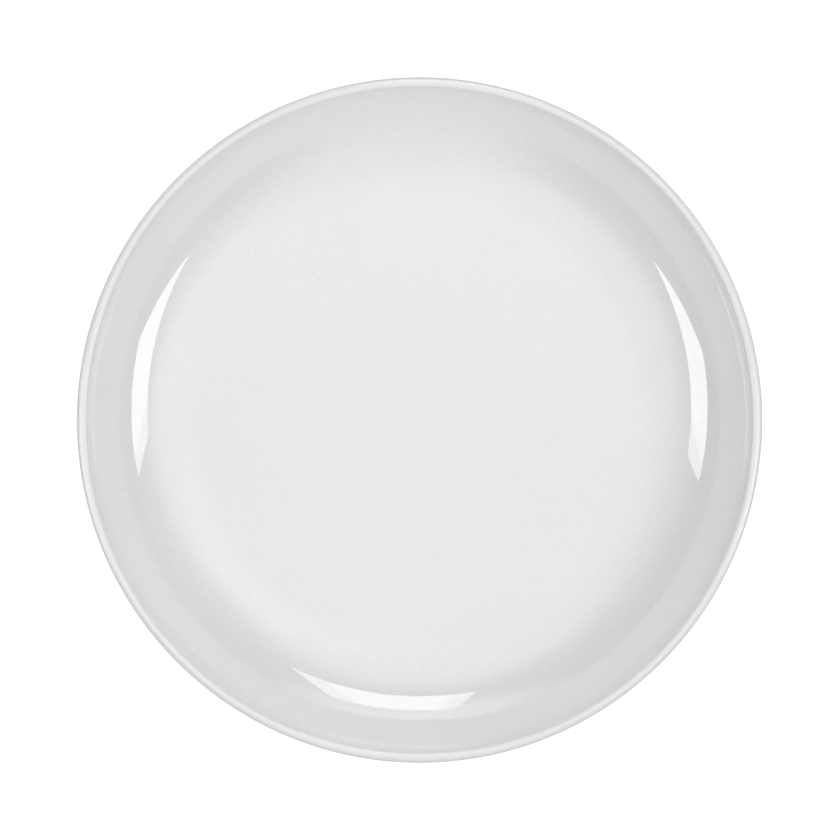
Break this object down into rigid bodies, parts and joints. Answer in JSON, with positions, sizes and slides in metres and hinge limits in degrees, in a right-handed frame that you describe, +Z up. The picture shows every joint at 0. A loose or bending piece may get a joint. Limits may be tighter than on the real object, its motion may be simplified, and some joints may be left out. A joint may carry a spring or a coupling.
{
  "type": "deep coupe plate",
  "caption": "Round deep coupe plate in white glazed porcelain, with a flat floor, a steep curved wall, a plain rolled rim and a low foot ring.",
  "frame": {"origin": "centre of the foot ring, on the plane that the plate rests on", "axes": "+Z up along the axis that the plate is turned about, out of the well; +X and +Y are alike, because the plate is round"},
  "size_m": [0.24, 0.24, 0.035],
  "materials": {
    "glazed_porcelain": "clear gloss glaze over a white porcelain body"
  },
  "bodies": {
    "root": {"plate_body": "glazed_porcelain"}
  },
  "joints": []
}
